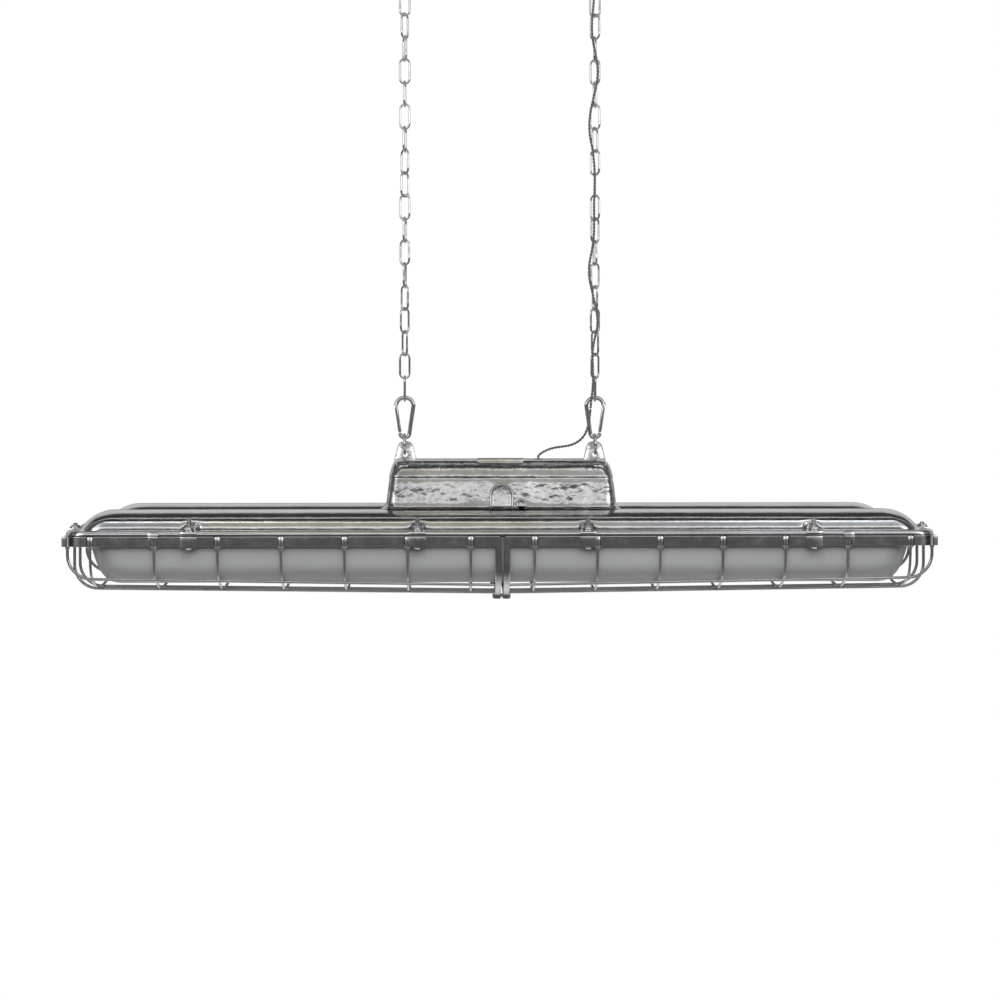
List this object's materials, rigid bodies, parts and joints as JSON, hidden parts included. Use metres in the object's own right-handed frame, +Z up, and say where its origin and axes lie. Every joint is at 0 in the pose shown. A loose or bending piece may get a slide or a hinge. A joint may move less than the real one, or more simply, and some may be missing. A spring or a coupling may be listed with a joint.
{
  "type": "pendant light",
  "caption": "Hanging light with two long domed metal troughs, opal glass and wire guards under one gear box, on two link chains from ceiling hooks.",
  "frame": {"origin": "on the ceiling plane, midway between the two hooks", "axes": "+X along the lamp, -Y towards the front, +Z up"},
  "size_m": [1.326, 0.361, 1.0375],
  "materials": {
    "cast_aluminium": "polished cast aluminium, fine casting marks, light wear",
    "hammered_casting": "cast aluminium with a fine hammered skin, polished on the edges",
    "guard_metal": "bright cast rim and wires, slightly dulled",
    "plated_steel": "bright zinc or nickel plate",
    "bolt_steel": "zinc-plated steel, dulled",
    "opal_glass": "frosted opal glass, satin inside",
    "rubber": "black rubber",
    "enamel": "white vitreous enamel",
    "tube_glass": "white phosphor-coated tube glass",
    "white_plastic": "off-white moulded plastic",
    "flex_fabric": "dark braided, twisted flex"
  },
  "bodies": {
    "ceiling": {"ceiling_hook_left": "plated_steel", "ceiling_rose_right": "plated_steel"},
    "top_links": {"top_link_left": "plated_steel", "top_link_right": "plated_steel", "flex_top": "flex_fabric"},
    "chain_right": {"chain_right": "plated_steel", "flex_chain": "flex_fabric"},
    "chain_left": {"chain_left": "plated_steel"},
    "carabiner_right": {"carabiner_right": "plated_steel"},
    "carabiner_left": {"carabiner_left": "plated_steel"},
    "gate_right": {"gate_right": "plated_steel"},
    "gate_left": {"gate_left": "plated_steel"},
    "lamp": {"housing_front": "cast_aluminium", "guard_front_right": "guard_metal", "tube_holder_front_right": "white_plastic", "end_bolt_front_right": "bolt_steel", "clamp_bolt_front_right_1": "bolt_steel", "clamp_bolt_front_right_2": "bolt_steel", "guard_front_left": "guard_metal", "tube_holder_front_left": "white_plastic", "end_bolt_front_left": "bolt_steel", "clamp_bolt_front_left_1": "bolt_steel", "clamp_bolt_front_left_2": "bolt_steel", "glass_front": "opal_glass", "gasket_front": "rubber", "reflector_front": "enamel", "tube_front": "tube_glass", "arch_bolt_front": "bolt_steel", "ballast_front": "bolt_steel", "housing_rear": "cast_aluminium", "guard_rear_right": "guard_metal", "tube_holder_rear_right": "white_plastic", "end_bolt_rear_right": "bolt_steel", "clamp_bolt_rear_right_1": "bolt_steel", "clamp_bolt_rear_right_2": "bolt_steel", "guard_rear_left": "guard_metal", "tube_holder_rear_left": "white_plastic", "end_bolt_rear_left": "bolt_steel", "clamp_bolt_rear_left_1": "bolt_steel", "clamp_bolt_rear_left_2": "bolt_steel", "glass_rear": "opal_glass", "gasket_rear": "rubber", "reflector_rear": "enamel", "tube_rear": "tube_glass", "arch_bolt_rear": "bolt_steel", "ballast_rear": "bolt_steel", "gear_box": "hammered_casting", "blank_plate": "cast_aluminium", "gear_tray": "plated_steel", "flex_grommet": "rubber", "terminal_block": "white_plastic", "ring_left": "plated_steel", "ring_right": "plated_steel", "flex_lower": "flex_fabric"}
  },
  "joints": [
    {"name": "swing_across", "type": "hinge", "parent": "ceiling", "child": "top_links", "pos_m": [0.153, 0, -0.042], "axis": [1, 0, 0], "range_deg": [-12, 12], "deforming": ["flex_top"]},
    {"name": "swing_along", "type": "hinge", "parent": "top_links", "child": "chain_right", "pos_m": [0.153, 0, -0.0763], "axis": [0, 1, 0], "range_deg": [-10, 10]},
    {"name": "swing_along_left", "type": "hinge", "parent": "top_links", "child": "chain_left", "pos_m": [-0.153, 0, -0.0763], "axis": [0, 1, 0], "range_deg": [-10, 10]},
    {"name": "carabiner_right_turn", "type": "hinge", "parent": "chain_right", "child": "carabiner_right", "pos_m": [0.153, 0, -0.7302], "axis": [0, 1, 0], "range_deg": [-10, 10], "deforming": ["flex_chain"]},
    {"name": "carabiner_left_turn", "type": "hinge", "parent": "chain_left", "child": "carabiner_left", "pos_m": [-0.153, 0, -0.7302], "axis": [0, 1, 0], "range_deg": [-10, 10]},
    {"name": "lamp_tilt", "type": "hinge", "parent": "carabiner_right", "child": "lamp", "pos_m": [0.153, 0, -0.7893], "axis": [1, 0, 0], "range_deg": [-15, 15], "deforming": ["flex_lower"]},
    {"name": "gate_right_open", "type": "hinge", "parent": "carabiner_right", "child": "gate_right", "pos_m": [0.1603, 0, -0.7829], "axis": [0, -1, 0], "range_deg": [0, 20], "stiffness_Nm_per_rad": 0.05, "springref_deg": -28.65},
    {"name": "gate_left_open", "type": "hinge", "parent": "carabiner_left", "child": "gate_left", "pos_m": [-0.1603, 0, -0.7829], "axis": [0, 1, 0], "range_deg": [0, 20], "stiffness_Nm_per_rad": 0.05, "springref_deg": -28.65}
  ],
  "couplings": [
    {"joint": "swing_along_left", "follows": "swing_along", "ratio": 1},
    {"joint": "carabiner_right_turn", "follows": "swing_along", "ratio": -1},
    {"joint": "carabiner_left_turn", "follows": "swing_along", "ratio": -1}
  ]
}
